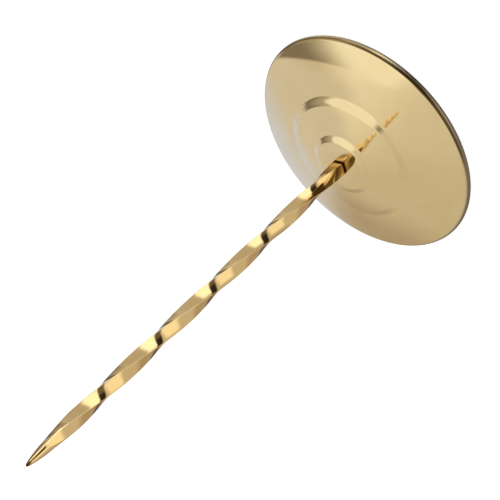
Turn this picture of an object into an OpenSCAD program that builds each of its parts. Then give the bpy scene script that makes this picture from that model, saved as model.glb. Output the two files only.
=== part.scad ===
// Bill spike: a twisted square spike that stands in the middle of a stepped, domed dish.
// Millimetres, +Z up. The origin is the centre of the dish, on the table that it stands on.

/* [Dish] */
// Outer diameter of the dish
dish_d = 80; // [60:1:120]
// Thickness of the dish's sheet, measured along the axis
sheet_t = 0.8; // [0.5:0.1:1.2]
// Spherical radius of the outer zone, from the rim to the outer step
dome_r = 88; // [70:1:160]
// Spherical radius of the inner zone and of the plateau
crown_r = 63; // [45:1:150]

/* [Stamped steps] */
// Radius of the outer step, at the middle of its slope
outer_step_r = 21.5; // [17:0.5:26]
// Width of the outer step's slope
outer_step_w = 2.8; // [1.5:0.1:4]
// Height of the outer step
outer_step_h = 1; // [0.4:0.1:2]
// Radius of the inner step, at the middle of its slope
inner_step_r = 10; // [8:0.5:13]
// Width of the inner step's slope
inner_step_w = 2.4; // [1.5:0.1:4]
// Height of the inner step
inner_step_h = 1; // [0.4:0.1:2]

/* [Rim] */
// Inside radius of the bend where the dome turns down into the rim
rim_bend_in = 1; // [0.2:0.1:2]
// Height of the straight wall between the rim's two bends
rim_wall_h = 0.15; // [0.05:0.05:4]
// Inside radius of the bend where the rim turns in to the hem
hem_bend_in = 0.1; // [0.05:0.05:1]
// Width of the flat hem that the dish stands on
hem_w = 3.2; // [2.5:0.1:8]

/* [Spike] */
// Side of the square bar
bar_w = 3.9; // [3.4:0.1:6]
// Length of the spike above the dish
spike_l = 148.6; // [100:0.2:220]
// Length of bar that makes one full turn of the twist
twist_pitch = 102.4; // [60:0.2:200]
// Length of the straight foot below the twist
foot_l = 0.8; // [0.5:0.1:10]
// Bevel round the bottom edge of the foot
foot_bevel = 0.35; // [0.1:0.05:0.4]
// Radius of the bar's corners, which polishing rubs round
corner_round = 0.2; // [0.05:0.05:0.4]

/* [Ground point] */
// Length over which the bar's flats taper towards the end
taper_l = 22; // [16:1:40]
// Side that the tapered square would have at the very end
taper_w = 3.1; // [2.6:0.1:3.4]
// Radius of the rounding at the very end of the round point
end_r = 0.19; // [0.1:0.01:0.3]

/* [Stud and fasteners] */
// Diameter of the threaded stud under the foot
stud_d = 3; // [2:0.5:3]
// Length of stud that stands out below the nut
stud_over = 1.2; // [0.5:0.1:3]
// Bevel on the end of the stud
stud_bevel = 0.3; // [0.1:0.1:0.5]
// Outer diameter of the flat washer
washer_d = 7; // [6.5:0.1:9]
// Thickness of the flat washer
washer_t = 0.5; // [0.3:0.1:1]
// Outer diameter of the spring washer
spring_d = 6.2; // [5:0.1:6.4]
// Thickness of the spring washer when tightened
spring_t = 0.8; // [0.5:0.1:1.2]
// Width of the slit in the spring washer
spring_slit = 0.6; // [0.3:0.1:1]
// Width of the nut across its flats
nut_w = 5.5; // [5:0.1:8]
// Height of the nut
nut_h = 2.4; // [1.5:0.1:4]

/* [Clearances] */
// Gap all round between the stud and the hole in the dish
hole_gap = 0.15; // [0.05:0.05:0.4]
// Gap all round between the stud and the washers
washer_gap = 0.1; // [0.05:0.05:0.3]
// Gap all round between the stud and the nut's bore
thread_gap = 0.05; // [0.03:0.01:0.1]
// Gap between faces that are clamped together
seat_gap = 0.02; // [0.01:0.01:0.1]

/* [Hidden] */
$fn = 96;

gold = [0.83, 0.69, 0.41];
zinc = [0.75, 0.76, 0.78];

// Radii and heights of the dish
dish_r = dish_d / 2;
wall_r = dish_r - sheet_t;
hole_r = stud_d / 2 + hole_gap;
rim_bend_r = rim_bend_in + sheet_t;
hem_bend_r = hem_bend_in + sheet_t;
rim_z = hem_bend_r + rim_wall_h;
rim_lean = asin((dish_r - rim_bend_r) / (dome_r - rim_bend_r));
edge_r = dome_r * sin(rim_lean);
bend_end_r = dish_r - rim_bend_r + rim_bend_in * sin(rim_lean);
inner_step_in = inner_step_r - inner_step_w / 2;
inner_step_out = inner_step_r + inner_step_w / 2;
outer_step_in = outer_step_r - outer_step_w / 2;
outer_step_out = outer_step_r + outer_step_w / 2;

// Stations along the dish's profile: on each spherical zone, on each step and on each bend
zone_n = 8;
step_n = 8;
bend_n = 6;

// Drop of a sphere below its top, and its slope there, at a distance r from the axis
function sag(radius, r) = radius - sqrt(radius * radius - r * r);
function sag_slope(radius, r) = -r / sqrt(radius * radius - r * r);

// Top of each zone: the outer zone starts at the rim, and each step lifts the next zone
dome_top_z = rim_z - (dome_r - rim_bend_r) * cos(rim_lean) + dome_r;
inner_top_z = dome_top_z - sag(dome_r, outer_step_r) + outer_step_h + sag(crown_r, outer_step_r);
plateau_top_z = inner_top_z + inner_step_h;
function outer_zone_z(r) = dome_top_z - sag(dome_r, r);
function inner_zone_z(r) = inner_top_z - sag(crown_r, r);
function plateau_z(r) = plateau_top_z - sag(crown_r, r);

// Cubic from height z0 and slope m0 to height z1 and slope m1 over a width w, with t from 0 to 1
function s_curve(t, w, z0, m0, z1, m1) =
    z0 * (2 * t ^ 3 - 3 * t ^ 2 + 1)
    + m0 * w * (t ^ 3 - 2 * t ^ 2 + t)
    + z1 * (3 * t ^ 2 - 2 * t ^ 3)
    + m1 * w * (t ^ 3 - t ^ 2);

function inner_step_z(r) = s_curve(
    (r - inner_step_in) / inner_step_w, inner_step_w,
    plateau_z(inner_step_in), sag_slope(crown_r, inner_step_in),
    inner_zone_z(inner_step_out), sag_slope(crown_r, inner_step_out));

function outer_step_z(r) = s_curve(
    (r - outer_step_in) / outer_step_w, outer_step_w,
    inner_zone_z(outer_step_in), sag_slope(crown_r, outer_step_in),
    outer_zone_z(outer_step_out), sag_slope(dome_r, outer_step_out));

// Height of the dish's upper face at a distance r from the axis
function dish_z(r) =
    r <= inner_step_in ? plateau_z(r)
    : r <= inner_step_out ? inner_step_z(r)
    : r <= outer_step_in ? inner_zone_z(r)
    : r <= outer_step_out ? outer_step_z(r)
    : outer_zone_z(r);

function stations(a, b, n) = [for (i = [0 : n - 1]) a + (b - a) * i / n];

function arc(centre, radius, from, to) =
    [for (i = [0 : bend_n]) let (a = from + (to - from) * i / bend_n)
        centre + radius * [cos(a), sin(a)]];

dish_stations = concat(
    stations(hole_r, inner_step_in, zone_n),
    stations(inner_step_in, inner_step_out, step_n),
    stations(inner_step_out, outer_step_in, zone_n),
    stations(outer_step_in, outer_step_out, step_n),
    stations(outer_step_out, edge_r, zone_n));

// Half of the dish's section: over the top, round the rim, along the hem and back underneath
function dish_section() = concat(
    [for (r = dish_stations) [r, dish_z(r)]],
    arc([dish_r - rim_bend_r, rim_z], rim_bend_r, 90 - rim_lean, 0),
    arc([dish_r - hem_bend_r, hem_bend_r], hem_bend_r, 0, -90),
    [[dish_r - hem_w, 0], [dish_r - hem_w, sheet_t]],
    arc([wall_r - hem_bend_in, sheet_t + hem_bend_in], hem_bend_in, -90, 0),
    arc([dish_r - rim_bend_r, rim_z], rim_bend_in, 0, 90 - rim_lean),
    [for (i = [len(dish_stations) - 1 : -1 : 0])
        let (r = dish_stations[i])
        if (r < bend_end_r - sheet_t / 4) [r, dish_z(r) - sheet_t]]);

// Heights of the spike's foot and of what clamps it, from the top of the stack down
foot_z = dish_z(hole_r) + seat_gap;
washer_z = dish_z(washer_d / 2) - sheet_t - seat_gap - washer_t;
spring_z = washer_z - seat_gap - spring_t;
nut_z = spring_z - seat_gap - nut_h;
stud_z = nut_z - stud_over;

// The bar's section turns by this angle at most from one ring of the spike to the next
ring_turn = 6;
ring_gap = ring_turn * twist_pitch / 360;

// Direction of a flat of the bar at a height h above the foot; at the foot a corner faces -Y
function flat_dir(h) = 45 + 360 / twist_pitch * max(h - foot_l, 0);

// Distance of the bar's flats and corners from the axis, at a distance d from the end of the spike
function flat_r(d) = (bar_w - (bar_w - taper_w) * max(1 - d / taper_l, 0)) / 2;
function corner_r(d) = sqrt(2) * (flat_r(d) - corner_round) + corner_round;

// Radius of the round point there: a paraboloid with a tiny flat at its very end
end_flat = 0.02;
function point_r(d) = sqrt(2 * end_r * (d + end_flat));

// Direction of a flat's edge from its middle: where the flat meets the bar's corner or the point.
// Where the point leaves no flat, the edges stay apart as points of a round section.
round_edge = 20;
function edge_dir(d) =
    let (flat = flat_r(d), bar_edge = atan2(flat - corner_round, flat))
    min(bar_edge, max(round_edge, acos(min(flat / point_r(d), 1))));

// The foot's bottom edge is drawn in by its bevel
function foot_share(h) = h < foot_bevel ? 1 - 2 * (foot_bevel - h) / bar_w : 1;

// Heights of the rings above the foot: foot, twist, taper and the round end
end_n = 5;
taper_h = spike_l - taper_l;
function spaced(a, b, gap) = stations(a, b, ceil((b - a) / gap));
ring_heights = concat(
    [0, foot_bevel],
    spaced(foot_l, taper_h, ring_gap),
    spaced(taper_h, spike_l - ring_gap, ring_gap / 2),
    [for (i = [end_n : -1 : 0]) spike_l - ring_gap * (i / end_n) ^ 2]);

// A ring's points: the two edges and the middle of each flat, and the middle of each corner
ring_n = 16;
function ring_points(h) =
    let (d = spike_l - h, edge = edge_dir(d))
    [for (side = [0 : 3], out = [-edge, 0, edge, 45])
        let (bar_r = out < 45 ? flat_r(d) / cos(out) : corner_r(d),
            reach = min(point_r(d), bar_r) * foot_share(h),
            dir = flat_dir(h) + 90 * side + out)
        [reach * cos(dir), reach * sin(dir), h]];

module twisted_bar() {
    n = ring_n;
    last = len(ring_heights) - 1;
    sides = [for (k = [0 : last - 1], j = [0 : n - 1])
        let (p = k * n + j, q = k * n + (j + 1) % n)
        each [[p, p + n, q], [q, p + n, q + n]]];
    bottom = [for (j = [2 : n - 1]) [1, j, (j + 1) % n]];
    top = [for (j = [2 : n - 1]) [last * n + 1, last * n + (j + 1) % n, last * n + j]];
    polyhedron(
        points = [for (h = ring_heights) each ring_points(h)],
        faces = concat(sides, bottom, top));
}

module stud() {
    stud_l = foot_z - stud_z + foot_l;
    translate([0, 0, stud_z]) {
        cylinder(h = stud_bevel, d1 = stud_d - 2 * stud_bevel, d2 = stud_d);
        translate([0, 0, stud_bevel])
            cylinder(h = stud_l - stud_bevel, d = stud_d);
    }
}

module bored(bore_d, height) {
    difference() {
        children();
        translate([0, 0, -height])
            cylinder(h = 3 * height, d = bore_d);
    }
}

module base_dish() {
    color(gold)
        rotate_extrude()
            polygon(dish_section());
}

module spike() {
    color(gold) {
        translate([0, 0, foot_z])
            twisted_bar();
        stud();
    }
}

module flat_washer() {
    color(zinc)
        translate([0, 0, washer_z])
            bored(stud_d + 2 * washer_gap, washer_t)
                cylinder(h = washer_t, d = washer_d);
}

module spring_washer() {
    slit_lean = 20;
    color(zinc)
        translate([0, 0, spring_z])
            difference() {
                bored(stud_d + 2 * washer_gap, spring_t)
                    cylinder(h = spring_t, d = spring_d);
                translate([spring_d / 2, 0, spring_t / 2])
                    rotate([slit_lean, 0, 0])
                        cube([spring_d, spring_slit, 4 * spring_t], center = true);
            }
}

module hex_nut() {
    corner_d = nut_w / cos(30);
    bevel = (corner_d - nut_w) / 2;
    bevel_h = bevel * tan(30);
    color(zinc)
        translate([0, 0, nut_z])
            bored(stud_d + 2 * thread_gap, nut_h)
                intersection() {
                    cylinder(h = nut_h, d = corner_d, $fn = 6);
                    rotate_extrude()
                        polygon([
                            [0, 0], [nut_w / 2, 0], [nut_w / 2 + bevel, bevel_h],
                            [nut_w / 2 + bevel, nut_h - bevel_h], [nut_w / 2, nut_h], [0, nut_h]]);
                }
}

base_dish();
spike();
flat_washer();
spring_washer();
hex_nut();
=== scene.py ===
"""Bill spike: a twisted brass spike clamped in the middle of a stepped, domed brass dish."""

import math

import bpy
import numpy as np
from mathutils import Matrix, Vector


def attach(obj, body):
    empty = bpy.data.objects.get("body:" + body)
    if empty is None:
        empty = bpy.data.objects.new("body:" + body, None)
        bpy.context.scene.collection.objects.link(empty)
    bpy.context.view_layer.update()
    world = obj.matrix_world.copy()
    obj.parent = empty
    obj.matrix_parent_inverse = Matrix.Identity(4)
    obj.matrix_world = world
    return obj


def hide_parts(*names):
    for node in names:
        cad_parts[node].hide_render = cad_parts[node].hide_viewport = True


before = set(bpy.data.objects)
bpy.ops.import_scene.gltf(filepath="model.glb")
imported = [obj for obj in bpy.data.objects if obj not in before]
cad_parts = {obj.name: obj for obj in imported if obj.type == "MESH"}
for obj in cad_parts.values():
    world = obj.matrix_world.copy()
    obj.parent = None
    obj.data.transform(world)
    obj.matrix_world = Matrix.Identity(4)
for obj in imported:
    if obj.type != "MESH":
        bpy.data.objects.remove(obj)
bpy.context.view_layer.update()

MM = 0.001

# Dish, in millimetres. The crown's radius sets only the heights of the plateau, the foot and the washer
DISH_R = 40.0
SHEET_T = 0.8
DOME_R = 88.0
ZONE_R = 57.0
CROWN_R = 63.0
OUTER_STEP_R, OUTER_STEP_W, OUTER_STEP_H = 21.5, 2.8, 1.0
INNER_STEP_R, INNER_STEP_W, INNER_STEP_H = 10.0, 2.4, 1.0
PLATEAU_SAG = 0.3
PLATEAU_POWER = 6
RIM_BEND_IN = 1.0
RIM_WALL_H = 0.15
HEM_BEND_IN = 0.1
HEM_W = 3.2
LIP_ROUND = 0.12
HOLE_GAP = 0.15

# Spike, in millimetres
BAR_W = 3.9
SPIKE_L = 148.6
TWIST_PITCH = 103.15
TWIST_EASE_L = 1.5
FOOT_TURN = math.radians(1.0)
FOOT_BEVEL = 0.35
CORNER_ROUND = 0.14
TAPER_L = 22.0
TAPER_W = 3.1
POINT_L = 17.0
END_R = 0.19

# Stud and what clamps it, in millimetres. The thread's crest and flank are shares of half a pitch
STUD_D = 3.0
STUD_OVER = 1.2
STUD_BEVEL = 0.3
NECK_L = 0.6
THREAD_PITCH = 0.5
THREAD_DEPTH = 0.3
THREAD_FADE_L = 0.4
THREAD_CREST, THREAD_FLANK = 0.12, 0.7
WASHER_D = 7.0
WASHER_T = 0.5
SPRING_T = 0.8
NUT_H = 2.4
SEAT_GAP = 0.02

# Fineness of the dish's mesh: rings on the plateau, inner step, zone, outer step and dome, and points on
# each bend
DISH_COLUMNS = 256
UPPER_RINGS = (26, 34, 26, 38, 46)
UNDER_RINGS = 72
UNDER_START_GAP = 0.3
RIM_POINTS, RIM_IN_POINTS, HEM_POINTS, LIP_POINTS, HOLE_POINTS = 20, 9, 12, 5, 4
HOLE_LIP_SWEEP = 80
DISH_CREASE = math.radians(40)

# Fineness of the spike's mesh: columns on half a flat and half a corner, and gaps between rings, in
# millimetres
FLAT_COLUMNS, CORNER_COLUMNS = 4, 6
LEAST_EDGE = math.radians(4)
FIRST_RING_H = 0.6
BAR_RING_GAP, POINT_RING_GAP, STUD_RING_GAP = 0.3, 0.1, 0.05
END_L, END_RINGS, LEAST_END = 0.9, 16, 0.002
SPIKE_CREASE = math.radians(12)

RIM_BEND_R = RIM_BEND_IN + SHEET_T
HEM_BEND_R = HEM_BEND_IN + SHEET_T
RIM_Z = HEM_BEND_R + RIM_WALL_H
RIM_LEAN = math.asin((DISH_R - RIM_BEND_R) / (DOME_R - RIM_BEND_R))
EDGE_R = DOME_R * math.sin(RIM_LEAN)
WALL_R = DISH_R - SHEET_T
HOLE_R = STUD_D / 2 + HOLE_GAP
HOLE_LIP_R = HOLE_R + LIP_ROUND
INNER_START_R, INNER_END_R = INNER_STEP_R - INNER_STEP_W / 2, INNER_STEP_R + INNER_STEP_W / 2
OUTER_START_R, OUTER_END_R = OUTER_STEP_R - OUTER_STEP_W / 2, OUTER_STEP_R + OUTER_STEP_W / 2


def sag(sphere_r, r):
    """Drop of a sphere below its top at a distance r from the axis."""
    return sphere_r - np.sqrt(sphere_r**2 - np.square(r))


def sag_slope(sphere_r, r):
    """Slope of that sphere at a distance r from the axis."""
    return -r / np.sqrt(sphere_r**2 - np.square(r))


DOME_TOP_Z = RIM_Z - (DOME_R - RIM_BEND_R) * math.cos(RIM_LEAN) + DOME_R
ZONE_EDGE_Z = float(DOME_TOP_Z - sag(DOME_R, OUTER_STEP_R) + OUTER_STEP_H)
ZONE_TOP_Z = float(ZONE_EDGE_Z + sag(ZONE_R, OUTER_STEP_R))
PLATEAU_TOP_Z = float(ZONE_EDGE_Z + sag(CROWN_R, OUTER_STEP_R) + INNER_STEP_H)
PLATEAU_SLOPE = -PLATEAU_POWER * PLATEAU_SAG / INNER_START_R
FOOT_Z = float(PLATEAU_TOP_Z - sag(CROWN_R, HOLE_R) + SEAT_GAP)
WASHER_Z = float(PLATEAU_TOP_Z - sag(CROWN_R, WASHER_D / 2) - SHEET_T - SEAT_GAP - WASHER_T)
NUT_Z = WASHER_Z - 2 * SEAT_GAP - SPRING_T - NUT_H
STUD_Z = NUT_Z - STUD_OVER


def plateau_sag(r):
    """Drop of the plateau below its middle: a power of r, so that it is flat under the foot and rolls off
    towards its edge."""
    return PLATEAU_SAG * (r / INNER_START_R) ** PLATEAU_POWER


def step_curve(r, start_r, end_r, z_in, slope_in, z_out, slope_out):
    """Cubic across a stamped step: it leaves the inner zone and meets the outer zone at their own heights
    and slopes."""
    width = end_r - start_r
    t = (r - start_r) / width
    return (
        z_in * (2 * t**3 - 3 * t**2 + 1)
        + slope_in * width * (t**3 - 2 * t**2 + t)
        + z_out * (3 * t**2 - 2 * t**3)
        + slope_out * width * (t**3 - t**2)
    )


def dish_z(r):
    """Height of the dish's upper face: a plateau, a spherical zone and a spherical dome, joined by two cubic
    steps."""
    r = np.asarray(r, float)
    inner_step = step_curve(
        r,
        INNER_START_R,
        INNER_END_R,
        PLATEAU_TOP_Z - PLATEAU_SAG,
        PLATEAU_SLOPE,
        ZONE_TOP_Z - sag(ZONE_R, INNER_END_R),
        sag_slope(ZONE_R, INNER_END_R),
    )
    outer_step = step_curve(
        r,
        OUTER_START_R,
        OUTER_END_R,
        ZONE_TOP_Z - sag(ZONE_R, OUTER_START_R),
        sag_slope(ZONE_R, OUTER_START_R),
        DOME_TOP_Z - sag(DOME_R, OUTER_END_R),
        sag_slope(DOME_R, OUTER_END_R),
    )
    plateau = PLATEAU_TOP_Z - plateau_sag(r)
    zone = ZONE_TOP_Z - sag(ZONE_R, r)
    dome = DOME_TOP_Z - sag(DOME_R, r)
    ends = [INNER_START_R, INNER_END_R, OUTER_START_R, OUTER_END_R]
    return np.select([r <= end for end in ends], [plateau, inner_step, zone, outer_step], dome)


def arc(centre_r, centre_z, radius, start, end, n):
    """Points of a circular bend from one angle to another, in degrees."""
    a = np.radians(np.linspace(start, end, n))
    return np.stack([centre_r + radius * np.cos(a), centre_z + radius * np.sin(a)], 1)


def upper_stations():
    """Distances from the axis at which the dish's upper face is sampled, closest together on the steps."""
    marks = [HOLE_LIP_R, INNER_START_R, INNER_END_R, OUTER_START_R, OUTER_END_R, EDGE_R]
    runs = [
        np.linspace(start, end, n, endpoint=False)
        for start, end, n in zip(marks[:-1], marks[1:], UPPER_RINGS)
    ]
    return np.concatenate(runs)


def dish_section():
    """Closed half section of the dish: over the top, round the rim, along the hem, back underneath and up
    the hole."""
    r = upper_stations()
    over = np.stack([r, dish_z(r)], 1)
    rim_centre = DISH_R - RIM_BEND_R
    rim_top = 90 - math.degrees(RIM_LEAN)
    lip_r = DISH_R - HEM_W + LIP_ROUND
    bend_end = rim_centre + RIM_BEND_IN * math.sin(RIM_LEAN)
    under_r = np.linspace(bend_end - UNDER_START_GAP, HOLE_LIP_R, UNDER_RINGS)
    under = np.stack([under_r, dish_z(under_r) - SHEET_T], 1)
    hole_top = float(dish_z(HOLE_LIP_R))
    hole_low = hole_top - SHEET_T + LIP_ROUND
    return np.concatenate(
        [
            over,
            arc(rim_centre, RIM_Z, RIM_BEND_R, rim_top, 0, RIM_POINTS),
            arc(DISH_R - HEM_BEND_R, HEM_BEND_R, HEM_BEND_R, 0, -90, HEM_POINTS),
            arc(lip_r, LIP_ROUND, LIP_ROUND, -90, -180, LIP_POINTS),
            arc(lip_r, SHEET_T - LIP_ROUND, LIP_ROUND, 180, 90, LIP_POINTS),
            arc(WALL_R - HEM_BEND_IN, SHEET_T + HEM_BEND_IN, HEM_BEND_IN, -90, 0, LIP_POINTS),
            arc(rim_centre, RIM_Z, RIM_BEND_IN, 0, rim_top, RIM_IN_POINTS),
            under,
            arc(HOLE_LIP_R, hole_low, LIP_ROUND, 180 + HOLE_LIP_SWEEP, 180, HOLE_POINTS),
            arc(HOLE_LIP_R, hole_top - LIP_ROUND, LIP_ROUND, 180, 180 - HOLE_LIP_SWEEP, HOLE_POINTS),
        ]
    )


def turned_rings(section, n):
    """A half section turned round the Z axis: ring i is the circle of the section's point i, in n points."""
    a = np.arange(n) * 2 * np.pi / n
    r, z = section[:, :1], section[:, 1:]
    return np.stack([r * np.cos(a), r * np.sin(a), z + 0 * a], 2)


def bar_twist(h):
    """Direction of one flat of the bar, in radians, at a height h above the foot. The turn is already under
    way at the foot: its rate rises in a straight line to half the ease length above it and then holds."""
    y = np.clip(h / TWIST_EASE_L + 0.5, 0, 1)
    eased = np.where(h > TWIST_EASE_L / 2, h, TWIST_EASE_L * y**2 / 2)
    return np.pi / 4 + FOOT_TURN + 2 * np.pi / TWIST_PITCH * eased


def bar_flat(d):
    """Distance from the axis to the bar's flats, at a distance d from the end: half the bar's side, and less
    on the tapered end, in proportion to d."""
    return BAR_W / 2 - (BAR_W - TAPER_W) / 2 * np.clip(1 - d / TAPER_L, 0, 1)


def point_reach(d):
    """Radius of the round ground point at a distance d from the end: a paraboloid with the end's radius."""
    return np.sqrt(2 * END_R * np.clip(d, LEAST_END, None))


def spike_sections(h):
    """Angles and distances from the axis of each ring's points, for heights h above the foot.
    One flat is sampled from its middle to its edge and on to the middle of the corner, then mirrored and
    repeated four times. The edge is where the flat meets the rounded corner or the round point, whichever
    comes first, so that the flats end in curves, as on a sharpened pencil. The bevel narrows the foot."""
    h = h[:, None]
    d = SPIKE_L - h
    flat = bar_flat(d)
    core = flat - CORNER_ROUND
    ground = point_reach(d)
    edge = np.minimum(core, np.sqrt(np.clip(ground**2 - flat**2, 0, None)))
    a_edge = np.maximum(np.arctan2(edge, flat), LEAST_EDGE)
    a_flat = a_edge * np.arange(FLAT_COLUMNS + 1) / FLAT_COLUMNS
    a_corner = a_edge + (np.pi / 4 - a_edge) * np.arange(1, CORNER_COLUMNS + 1) / CORNER_COLUMNS
    inside = np.clip(CORNER_ROUND**2 - core**2 * (np.cos(a_corner) - np.sin(a_corner)) ** 2, 0, None)
    rounded = core * (np.cos(a_corner) + np.sin(a_corner)) + np.sqrt(inside)
    reach_half = np.minimum(np.concatenate([flat / np.cos(a_flat), rounded], 1), ground)
    reach_half = reach_half * np.clip(1 - (FOOT_BEVEL - h) / flat, None, 1)
    a_half = np.concatenate([a_flat, a_corner], 1)
    a_side = np.concatenate([-a_half[:, :0:-1], a_half[:, :-1]], 1)
    reach_side = np.concatenate([reach_half[:, :0:-1], reach_half[:, :-1]], 1)
    quarter = np.repeat(np.arange(4) * np.pi / 2, a_side.shape[1])
    return np.tile(a_side, 4) + quarter, np.tile(reach_side, 4)


def thread_reach(z, angle):
    """Radius of the stud's thread: a ridge with flat crest and root that climbs one pitch in each turn, fades
    out at the neck below the foot and is cut off by the bevel at the lower end."""
    turn = np.mod(z / THREAD_PITCH - angle / (2 * np.pi), 1)
    groove = np.clip((np.abs(2 * turn - 1) - THREAD_CREST) / THREAD_FLANK, 0, 1)
    depth = THREAD_DEPTH * np.clip((FOOT_Z - NECK_L - z) / THREAD_FADE_L, 0, 1)
    lead_in = np.clip(z - STUD_Z, 0, STUD_BEVEL) - STUD_BEVEL
    return np.minimum(STUD_D / 2 + lead_in, STUD_D / 2 - depth * groove)


def spike_rings():
    """The spike's rings from the end of the stud to the point: the threaded stud, the step out to the foot,
    the twisted bar and the ground point. Each ring is a closed curve given by a distance from the axis for
    each angle."""
    point_h = SPIKE_L - POINT_L
    h = np.concatenate(
        [
            [0.0, FOOT_BEVEL],
            np.arange(FIRST_RING_H, point_h, BAR_RING_GAP),
            np.arange(point_h, SPIKE_L - END_L - POINT_RING_GAP / 2, POINT_RING_GAP),
            SPIKE_L - END_L * np.linspace(1, 0, END_RINGS) ** 2,
        ]
    )
    angle, reach = spike_sections(h)
    turn = angle + bar_twist(h)[:, None]
    bar_z = FOOT_Z + h[:, None] + 0 * reach
    bar = np.stack([reach * np.cos(turn), reach * np.sin(turn), bar_z], 2)
    z = np.arange(STUD_Z, FOOT_Z - SEAT_GAP, STUD_RING_GAP)[:, None]
    stud_angle = turn[:1] + 0 * z
    stud_reach = thread_reach(z, stud_angle)
    stud_z = z + 0 * stud_reach
    stud = np.stack([stud_reach * np.cos(stud_angle), stud_reach * np.sin(stud_angle), stud_z], 2)
    root = stud[-1:].copy()
    root[..., 2] = FOOT_Z
    return np.concatenate([stud, root, bar])


def skin(name, rings, looped=False):
    """A mesh over a grid of rings: four-sided faces between neighbouring rings. With looped the last ring
    joins the first one; otherwise each end closes on a point in the middle of its ring."""
    n, m = rings.shape[:2]
    points = rings.reshape(-1, 3) * MM
    i = np.arange(n if looped else n - 1)[:, None]
    j = np.arange(m)[None, :]
    a, b = i * m + j, ((i + 1) % n) * m + j
    a2, b2 = i * m + (j + 1) % m, ((i + 1) % n) * m + (j + 1) % m
    quads = np.stack([a, b, b2, a2] if looped else [a, a2, b2, b], 2).reshape(-1, 4)
    corners, sizes = [quads.ravel()], [np.full(len(quads), 4)]
    if not looped:
        first, last = n * m, n * m + 1
        middles = np.stack([rings[0].mean(0), rings[-1].mean(0)]) * MM
        points = np.concatenate([points, middles])
        k = np.arange(m)
        low = np.stack([np.full(m, first), (k + 1) % m, k], 1)
        high = (n - 1) * m + np.stack([k, (k + 1) % m], 1)
        high = np.concatenate([np.full((m, 1), last), high], 1)
        corners += [low.ravel(), high.ravel()]
        sizes += [np.full(2 * m, 3)]
    corners, sizes = np.concatenate(corners), np.concatenate(sizes)
    mesh = bpy.data.meshes.new(name)
    mesh.vertices.add(len(points))
    mesh.vertices.foreach_set("co", points.astype(np.float32).ravel())
    mesh.loops.add(len(corners))
    mesh.loops.foreach_set("vertex_index", corners.astype(np.int32))
    mesh.polygons.add(len(sizes))
    starts = np.concatenate([[0], np.cumsum(sizes)[:-1]])
    mesh.polygons.foreach_set("loop_start", starts.astype(np.int32))
    mesh.update(calc_edges=True)
    mesh.validate()
    mesh.polygons.foreach_set("use_smooth", np.ones(len(sizes), bool))
    piece = bpy.data.objects.new(name, mesh)
    bpy.context.scene.collection.objects.link(piece)
    return piece


def new_tree(owner):
    """An empty node tree on a material or the world."""
    owner.use_nodes = True
    owner.node_tree.nodes.clear()
    return owner.node_tree


def add(tree, kind, settings=(), **inputs):
    """A node with its settings and inputs. An input is named by its socket, with _ for a space, or i0, i1 and
    so on by its place. One that is given a socket is linked, and any other is set."""
    node = tree.nodes.new(kind)
    for key, value in dict(settings).items():
        setattr(node, key, value)
    for key, value in inputs.items():
        place = int(key[1:]) if key[0] == "i" and key[1:].isdigit() else key.replace("_", " ")
        if isinstance(value, bpy.types.NodeSocket):
            tree.links.new(value, node.inputs[place])
        else:
            node.inputs[place].default_value = value
    return node


def maths(tree, operation, first, second=0.0):
    """One sum on two values or sockets."""
    return add(tree, "ShaderNodeMath", {"operation": operation}, i0=first, i1=second).outputs[0]


def product(tree, first, *others):
    """All the values or sockets multiplied together."""
    for other in others:
        first = maths(tree, "MULTIPLY", first, other)
    return first


def eased_range(tree, value, low, high, start=0.0, end=1.0):
    """Smooth step from start to end while the value goes from low to high."""
    return add(
        tree,
        "ShaderNodeMapRange",
        {"interpolation_type": "SMOOTHSTEP"},
        Value=value,
        From_Min=low,
        From_Max=high,
        To_Min=start,
        To_Max=end,
    ).outputs[0]


def mixed(tree, share, first, second, label=""):
    """Colour that goes from the first, a colour or a socket, to the second, a colour, as the share goes from
    0 to 1."""
    if not isinstance(first, bpy.types.NodeSocket):
        first = (*first, 1)
    settings = {"data_type": "RGBA", "label": label}
    return add(tree, "ShaderNodeMix", settings, Factor=share, i6=first, i7=(*second, 1)).outputs[2]


def noise(tree, place, scale, detail):
    """Cloudy noise at a place, from 0 to 1."""
    return add(tree, "ShaderNodeTexNoise", Vector=place, Scale=scale, Detail=detail).outputs["Fac"]


def axis_distance(tree, x, y):
    """Distance from the spike's axis: the root of x squared plus y squared."""
    return maths(tree, "SQRT", maths(tree, "ADD", product(tree, x, x), product(tree, y, y)))


# Painted shade, deeper gold and a darker tip on the brass. Each pair is the two ends of a fade, in
# millimetres: FOOT_MASK_LIMIT_R and SHADE_SIDE_FADE from the axis, FOOT_MASK_FLOOR below the foot,
# TIP_DARK_FADE below the end of the spike, RIM_SIDE in from the dish's edge and RIM_SHADE_Z above the table
# Painted shade in the crevice round the foot, where the bar meets the dish; its colour and roughness also
# darken the end of the point
CREVICE_SHADE_AND_TIP_COLOUR = (0.12, 0.04, 0.005)
CREVICE_SHADE_ALONG, CREVICE_SHADE_UP = 1.1, 1.1
CREVICE_SHADE_AND_TIP_ROUGH = 0.5
FOOT_MASK_LIMIT_R = (2.55, 2.95)
FOOT_MASK_FLOOR = (0.5, 0.4)
# A deeper orange gold on the bar just above the foot, fading out upwards
DEEP_GOLD_COLOUR = (0.66, 0.38, 0.11)
DEEP_GOLD_ALONG, DEEP_GOLD_UP = 0.3, 9.0
DEEP_GOLD_SHARE = 0.75
# Darker end of the point
TIP_DARK_FADE = (1.8, 0.3)
# Painted shade low on the rim's outer side, in place of the reflection of the shade under the dish, fainter
# on the side in front of +X
RIM_SHADE_COLOUR = (0.28, 0.23, 0.165)
RIM_ROUGH = 0.25
RIM_SIDE = (1.6, 1.2)
RIM_SHADE_Z = (1.7, 2.5)
SHADE_SIDE_TURN = math.radians(50)
SHADE_SIDE_FADE = (31, 39)
FAINT_SIDE_SHARE = 0.3
CLIMB = 0.010

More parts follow.
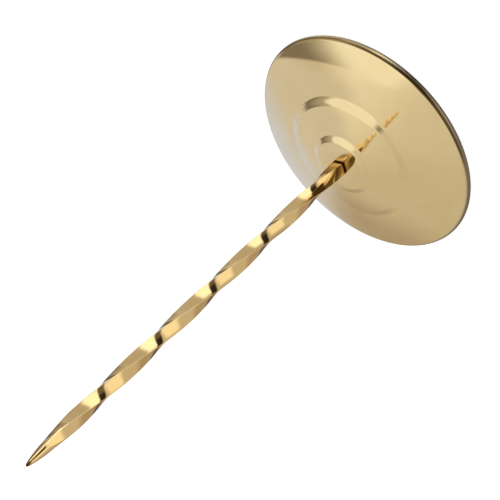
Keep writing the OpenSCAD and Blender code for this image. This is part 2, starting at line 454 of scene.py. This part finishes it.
# Finish of the brass and the zinc. A span is the part of the noise, from 0 to 1, over which the finish
# changes
CLOUD_SCALE, CLOUD_DETAIL, CLOUD_SPAN = 70.0, 3.0, (0.35, 0.7)
SMEAR_SCALE, SMEAR_DETAIL, SMEAR_SPAN = 160.0, 4.0, (0.3, 0.75)
MARK_SCALE, MARK_DETAIL = 1000.0, 2.0
MARK_STRENGTH, MARK_DEPTH = 0.03, 0.02 * MM
ZINC_BLUE, ZINC_YELLOW = (0.70, 0.73, 0.78), (0.80, 0.77, 0.68)
DRIFT_SCALE, DRIFT_DETAIL = 220.0, 2.0
GRAIN_SCALE, GRAIN_DETAIL = 1400.0, 3.0
GRAIN_STRENGTH, GRAIN_DEPTH = 0.1, 0.03 * MM
ZINC_SPAN, ZINC_ROUGH = (0.3, 0.7), (0.22, 0.42)


def foot_mask(tree, place, along, up):
    """Mask round the square foot, for the painted shade in the crevice where the bar meets the dish and for
    the deeper
    gold above it: 1 at the foot's edge, 0 at a distance along outside it or at a height up above the dish.
    The foot's corners point close to X and Y, so the distance outside it is |x| + |y| less half the diagonal.
    A round limit keeps it off the dish beyond the corners."""
    x, y, z = add(tree, "ShaderNodeSeparateXYZ", Vector=place).outputs
    sum_xy = maths(tree, "ADD", maths(tree, "ABSOLUTE", x), maths(tree, "ABSOLUTE", y))
    edge = BAR_W / math.sqrt(2)
    near, far = FOOT_MASK_LIMIT_R
    low, high = (FOOT_Z - below for below in FOOT_MASK_FLOOR)
    return product(
        tree,
        eased_range(tree, sum_xy, (edge + along / 4) * MM, (edge + along) * MM, 1.0, 0.0),
        eased_range(tree, axis_distance(tree, x, y), near * MM, far * MM, 1.0, 0.0),
        eased_range(tree, z, (FOOT_Z + up / 4) * MM, (FOOT_Z + up) * MM, 1.0, 0.0),
        eased_range(tree, z, low * MM, high * MM),
    )


def rim_painted_shade(tree, place):
    """How much painted shade the rim gets: 0 on the dome and 1 low on the rim's outer side, in place of the
    reflection of the shade under the dish. It is fainter on the side in front of +X, and climbs higher on the
    other side, in proportion to the distance from the middle."""
    x, y, z = add(tree, "ShaderNodeSeparateXYZ", Vector=place).outputs
    across, ahead = product(tree, x, math.sin(SHADE_SIDE_TURN)), product(tree, y, math.cos(SHADE_SIDE_TURN))
    towards = maths(tree, "SUBTRACT", across, ahead)
    climb = product(tree, maths(tree, "MINIMUM", towards, 0.0), CLIMB)
    side_in, side_out = (DISH_R - inset for inset in RIM_SIDE)
    shaded_z, unshaded_z = RIM_SHADE_Z
    fade_start, fade_end = SHADE_SIDE_FADE
    return product(
        tree,
        eased_range(tree, axis_distance(tree, x, y), side_in * MM, side_out * MM),
        eased_range(tree, maths(tree, "ADD", z, climb), shaded_z * MM, unshaded_z * MM, 1.0, 0.0),
        eased_range(tree, towards, fade_start * MM, fade_end * MM, 1.0, FAINT_SIDE_SHARE),
    )


def tip_darkening(tree, place):
    """How much darker the very end of the point is: 0 where that starts and 1 close to the end."""
    z = add(tree, "ShaderNodeSeparateXYZ", Vector=place).outputs[2]
    start, full = (FOOT_Z + SPIKE_L - below for below in TIP_DARK_FADE)
    return eased_range(tree, z, start * MM, full * MM)


def polished_brass(name, colour, deep, smooth, dull, marks):
    """Polished brass: a warm metal that drifts from colour to deep, with smears of polish from smooth to dull
    and faint polishing marks. marks stretches the marks, as x, y and z scales of the piece's own coordinates.
    Painted shade darkens the crevice round the foot, the bar is a deeper gold just above it, the end of the
    point is darker, and painted shade darkens the rim low on its outer side, in place of the reflection of
    the shade under the dish."""
    material = bpy.data.materials.new(name)
    tree = new_tree(material)
    place = add(tree, "ShaderNodeTexCoord").outputs["Object"]
    cloud = noise(tree, place, CLOUD_SCALE, CLOUD_DETAIL)
    smear = noise(tree, place, SMEAR_SCALE, SMEAR_DETAIL)
    stretched = add(tree, "ShaderNodeMapping", Vector=place, Scale=marks).outputs[0]
    lines = noise(tree, stretched, MARK_SCALE, MARK_DETAIL)
    deep_gold = product(tree, foot_mask(tree, place, DEEP_GOLD_ALONG, DEEP_GOLD_UP), DEEP_GOLD_SHARE)
    rim = rim_painted_shade(tree, place)
    # Painted shade in the crevice where the bar meets the dish
    foot = foot_mask(tree, place, CREVICE_SHADE_ALONG, CREVICE_SHADE_UP)
    crevice_shade_and_dark_tip = maths(tree, "MAXIMUM", foot, tip_darkening(tree, place))
    tint = mixed(tree, eased_range(tree, cloud, *CLOUD_SPAN), colour, deep)
    # Deeper gold on the bar just above the foot
    tint = mixed(tree, deep_gold, tint, DEEP_GOLD_COLOUR)
    # Painted shade low on the rim, in place of the reflection of the shade under the dish
    tint = mixed(tree, rim, tint, RIM_SHADE_COLOUR)
    # Painted shade in the crevice round the foot, together with the darker end of the point
    tint = mixed(tree, crevice_shade_and_dark_tip, tint, CREVICE_SHADE_AND_TIP_COLOUR)
    # More roughness in the crevice, at the tip and low on the rim
    added_roughness = maths(tree, "MAXIMUM", product(tree, crevice_shade_and_dark_tip, CREVICE_SHADE_AND_TIP_ROUGH), product(tree, rim, RIM_ROUGH))
    metal = add(
        tree,
        "ShaderNodeBsdfPrincipled",
        Base_Color=tint,
        Metallic=1.0,
        Roughness=maths(tree, "ADD", eased_range(tree, smear, *SMEAR_SPAN, smooth, dull), added_roughness),
        Normal=add(
            tree, "ShaderNodeBump", Strength=MARK_STRENGTH, Distance=MARK_DEPTH, Height=lines
        ).outputs[0],
    )
    add(tree, "ShaderNodeOutputMaterial", Surface=metal.outputs[0])
    return material


def zinc_plate(name):
    """Bright zinc plating on steel: a cool metal with a fine cloudy spangle and a faint drift from blue to
    yellow."""
    material = bpy.data.materials.new(name)
    tree = new_tree(material)
    place = add(tree, "ShaderNodeTexCoord").outputs["Object"]
    drift = noise(tree, place, DRIFT_SCALE, DRIFT_DETAIL)
    grain = noise(tree, place, GRAIN_SCALE, GRAIN_DETAIL)
    metal = add(
        tree,
        "ShaderNodeBsdfPrincipled",
        Base_Color=mixed(tree, eased_range(tree, drift, *ZINC_SPAN), ZINC_BLUE, ZINC_YELLOW),
        Metallic=1.0,
        Roughness=eased_range(tree, grain, *ZINC_SPAN, *ZINC_ROUGH),
        Normal=add(
            tree, "ShaderNodeBump", Strength=GRAIN_STRENGTH, Distance=GRAIN_DEPTH, Height=grain
        ).outputs[0],
    )
    add(tree, "ShaderNodeOutputMaterial", Surface=metal.outputs[0])
    return material


# Pieces
dish = skin("brass_dish", turned_rings(dish_section(), DISH_COLUMNS), looped=True)
spike = skin("twisted_spike", spike_rings())
dish.data.set_sharp_from_angle(angle=DISH_CREASE)
spike.data.set_sharp_from_angle(angle=SPIKE_CREASE)

dish_brass = polished_brass(
    "polished_dish_brass",
    colour=(0.85, 0.70, 0.39),
    deep=(0.82, 0.665, 0.355),
    smooth=0.02,
    dull=0.05,
    marks=(1, 1, 6),
)
spike_brass = polished_brass(
    "polished_spike_brass",
    colour=(0.87, 0.67, 0.34),
    deep=(0.83, 0.62, 0.30),
    smooth=0.04,
    dull=0.08,
    marks=(6, 6, 0.3),
)
dish.data.materials.append(dish_brass)
spike.data.materials.append(spike_brass)

zinc = zinc_plate("bright_zinc_plate")
for node in ("flat_washer", "spring_washer", "hex_nut"):
    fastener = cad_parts[node]
    fastener.data.materials.clear()
    fastener.data.materials.append(zinc)

for piece, node, slot in ((dish, "base_dish", "dish_brass"), (spike, "spike", "spike_brass")):
    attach(piece, "root")
    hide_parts(node)

# Floor: a white light table, seen directly and not in the brass. Half its side is in metres
TABLE_HALF = 3.0
TABLE_GLOW = 0.86
TABLE_GREY = (0.5, 0.5, 0.5, 1)
WHITE = (1, 1, 1, 1)


def light_table():
    """A large white table top at the height of the dish's hem, lit from below, with a faint shade under the
    dish: a square of four points."""
    mesh = bpy.data.meshes.new("light_table")
    corners = [(-1, -1, 0), (1, -1, 0), (1, 1, 0), (-1, 1, 0)]
    mesh.from_pydata(np.array(corners) * TABLE_HALF, [], [(0, 1, 2, 3)])
    table = bpy.data.objects.new("light_table", mesh)
    bpy.context.scene.collection.objects.link(table)
    material = bpy.data.materials.new("light_table_white")
    tree = new_tree(material)
    glow = add(tree, "ShaderNodeEmission", Color=WHITE, Strength=TABLE_GLOW)
    plain = add(tree, "ShaderNodeBsdfDiffuse", Color=TABLE_GREY)
    both = add(tree, "ShaderNodeAddShader", i0=glow.outputs[0], i1=plain.outputs[0])
    add(tree, "ShaderNodeOutputMaterial", Surface=both.outputs[0])
    mesh.materials.append(material)
    table.visible_glossy = False
    return table


light_table()

# Studio round the object. Each panel has a name, a colour and a window with soft edges on some of these
# measures, in degrees: bearing from the front towards +X, rear from the back towards +X, height above the
# horizon, side towards +X, and spread from a pole high at the rear. A window gives each measure's two edges
# and half the width over which they fade.
PANELS = [
    ("overhead sheet", (0.74, 0.69, 0.63), {"height": (58, 100, 14)}),
    ("left rear wall", (0.48, 0.40, 0.33), {"rear": (-30, 0, 12), "height": (-100, 16, 16)}),
    ("left lower wall", (0.48, 0.40, 0.33), {"bearing": (-168, -95, 12), "height": (-100, -8, 6)}),
    ("right zenith", (0.94, 0.91, 0.89), {"side": (2, 100, 14), "height": (52, 120, 14)}),
    ("right rear wall", (0.74, 0.71, 0.73), {"rear": (0, 40, 6), "height": (-60, 60, 10)}),
    ("right rear flag", (0.25, 0.22, 0.20), {"bearing": (90, 146.3, 0.7), "height": (-28, 55, 11)}),
    (
        "right soft box",
        (1.07, 1.05, 1.04),
        {"side": (7, 100, 4), "bearing": (0, 126.5, 13), "height": (38, 86, 9)},
    ),
    ("right side card", (0.47, 0.43, 0.38), {"bearing": (60, 126, 10), "height": (7, 44, 8)}),
    ("right side glow", (1.05, 1.03, 1.08), {"bearing": (60, 109.5, 6), "height": (7, 50, 8)}),
    ("right rear sill", (0.72, 0.69, 0.70), {"bearing": (140, 170, 4), "height": (-9, 17, 4)}),
    ("rear window", (0.70, 0.75, 0.98), {"rear": (-1, 24, 8), "height": (-40, 10, 9)}),
    ("left rear window", (0.70, 0.72, 0.85), {"rear": (-6, 2, 4), "height": (-40, -14, 5)}),
    ("right low shade", (0.14, 0.12, 0.11), {"bearing": (142, 160, 6), "height": (-100, -14.5, 2)}),
    ("left low shade", (0.14, 0.12, 0.11), {"bearing": (-156, -138, 6), "height": (-100, -16, 3)}),
    ("right lower wall", (0.56, 0.52, 0.48), {"bearing": (58, 110, 8), "height": (-100, 8, 8)}),
    ("right side wall", (0.45, 0.38, 0.28), {"bearing": (60, 125, 10), "spread": (60, 90, 3)}),
    ("right low strip", (0.20, 0.155, 0.10), {"bearing": (80, 140, 7), "height": (-16.5, 5, 2.5)}),
    ("front wall", (0.16, 0.12, 0.075), {"bearing": (-75, 76, 16), "spread": (60, 97, 3)}),
    ("front low wall", (0.15, 0.11, 0.07), {"bearing": (-70, 70, 12), "height": (2, 30, 4)}),
    ("front left lamp", (1.15, 1.08, 0.92), {"bearing": (-47, -4, 7), "height": (-38, 2, 3)}),
    ("front right lamp", (1.45, 1.46, 1.42), {"bearing": (10, 52, 6), "height": (-39, 2, 3)}),
    ("table edge", (0.38, 0.36, 0.34), {"bearing": (-70, 60, 12), "height": (-100, -43, 3)}),
    ("under the rim", (0.05, 0.04, 0.03), {"height": (-100, -51, 4)}),
    ("front card", (0.07, 0.045, 0.02), {"bearing": (-15, 29, 3), "height": (-15, 40, 3)}),
    ("front boom", (0.17, 0.135, 0.10), {"bearing": (-8, 8, 8), "height": (59, 66, 6)}),
    ("front stand", (0.17, 0.145, 0.11), {"bearing": (0.5, 17.5, 3), "height": (-60, -11, 3)}),
    ("front stand's foot", (0.03, 0.027, 0.022), {"bearing": (0.5, 17.5, 3), "height": (-60, -27, 4)}),
]
# Panels that lean: degrees that the bearing moves for each degree of height, and the height where it hasn't
# moved
LEANS = {
    "right rear flag": (0.45, 20.0),
    "front stand": (0.55, -25.0),
    "front stand's foot": (0.55, -25.0),
}
TENT = (0.66, 0.61, 0.55)
POLE_HEIGHT = math.radians(62)
BACKDROP_GLOW = 1.1


def studio():
    """Light from all round: a plain tent with panels of light and dark hung in it, each over the ones before.
    What the camera sees past the table is plain white."""
    world = bpy.data.worlds.new("studio")
    bpy.context.scene.world = world
    tree = new_tree(world)
    way = add(tree, "ShaderNodeTexCoord").outputs["Generated"]
    x, y, z = add(tree, "ShaderNodeSeparateXYZ", Vector=way).outputs
    front = product(tree, y, -1.0)
    pole_y, pole_z = product(tree, y, math.cos(POLE_HEIGHT)), product(tree, z, math.sin(POLE_HEIGHT))
    angles = {
        "bearing": maths(tree, "ARCTAN2", x, front),
        "rear": maths(tree, "ARCTAN2", x, y),
        "height": maths(tree, "ARCSINE", z),
        "side": maths(tree, "ARCSINE", x),
        "spread": maths(tree, "ARCCOSINE", maths(tree, "ADD", pole_y, pole_z)),
    }
    measures = {name: product(tree, angle, 180 / math.pi) for name, angle in angles.items()}
    light = TENT
    for name, colour, window in PANELS:
        edges = []
        for measure, (low, high, soft) in window.items():
            value = measures[measure]
            if measure == "bearing" and name in LEANS:
                lean, still = LEANS[name]
                above = maths(tree, "SUBTRACT", measures["height"], still)
                value = maths(tree, "ADD", value, product(tree, above, lean))
            edges.append(eased_range(tree, value, low - soft, low + soft))
            edges.append(eased_range(tree, value, high - soft, high + soft, 1.0, 0.0))
        light = mixed(tree, product(tree, *edges), light, colour, label=name)
    lit = add(tree, "ShaderNodeBackground", Color=light)
    plain = add(tree, "ShaderNodeBackground", Color=WHITE, Strength=BACKDROP_GLOW)
    seen = add(tree, "ShaderNodeLightPath").outputs["Is Camera Ray"]
    both = add(tree, "ShaderNodeMixShader", i0=seen, i1=lit.outputs[0], i2=plain.outputs[0])
    add(tree, "ShaderNodeOutputWorld", Surface=both.outputs[0])


studio()

# Camera, in millimetres, radians and pixels, with the clip in metres: its axis leans back from straight down,
# and the picture is turned so that the spike points to the lower left
CAMERA_LEAN = 0.9976
CAMERA_ROLL = math.radians(43.6)
CAMERA_FAR = 632.154
CAMERA_RAISE = 51.549
CAMERA_FOCUS_PX = 1966.0
CAMERA_SENSOR = 36.0
CAMERA_CLIP = (0.01, 50.0)
FRAME_PX = 500
FRAME_SHIFT_PX = (-0.7, -1.9)


def camera():
    """A camera whose axis lies in the plane x = 0, placed along its own axes so that the axis of the spike
    falls where the photograph has it."""
    data = bpy.data.cameras.new("camera")
    data.sensor_width = CAMERA_SENSOR
    data.lens = CAMERA_FOCUS_PX / FRAME_PX * CAMERA_SENSOR
    data.clip_start, data.clip_end = CAMERA_CLIP
    back = Vector((0, -math.sin(CAMERA_LEAN), math.cos(CAMERA_LEAN)))
    up = Vector((0, math.cos(CAMERA_LEAN), math.sin(CAMERA_LEAN)))
    left = Vector((-1, 0, 0))
    right_axis = -math.cos(CAMERA_ROLL) * up + math.sin(CAMERA_ROLL) * left
    up_axis = -math.sin(CAMERA_ROLL) * up - math.cos(CAMERA_ROLL) * left
    px = CAMERA_FAR / CAMERA_FOCUS_PX
    place = CAMERA_RAISE * up + CAMERA_FAR * back
    place += right_axis * FRAME_SHIFT_PX[0] * px - up_axis * FRAME_SHIFT_PX[1] * px
    turn = Matrix((right_axis, up_axis, back)).transposed().to_4x4()
    cam = bpy.data.objects.new("camera", data)
    cam.matrix_world = Matrix.Translation(place * MM) @ turn
    bpy.context.scene.collection.objects.link(cam)
    bpy.context.scene.camera = cam


camera()
bpy.context.scene.view_settings.view_transform = "Standard"
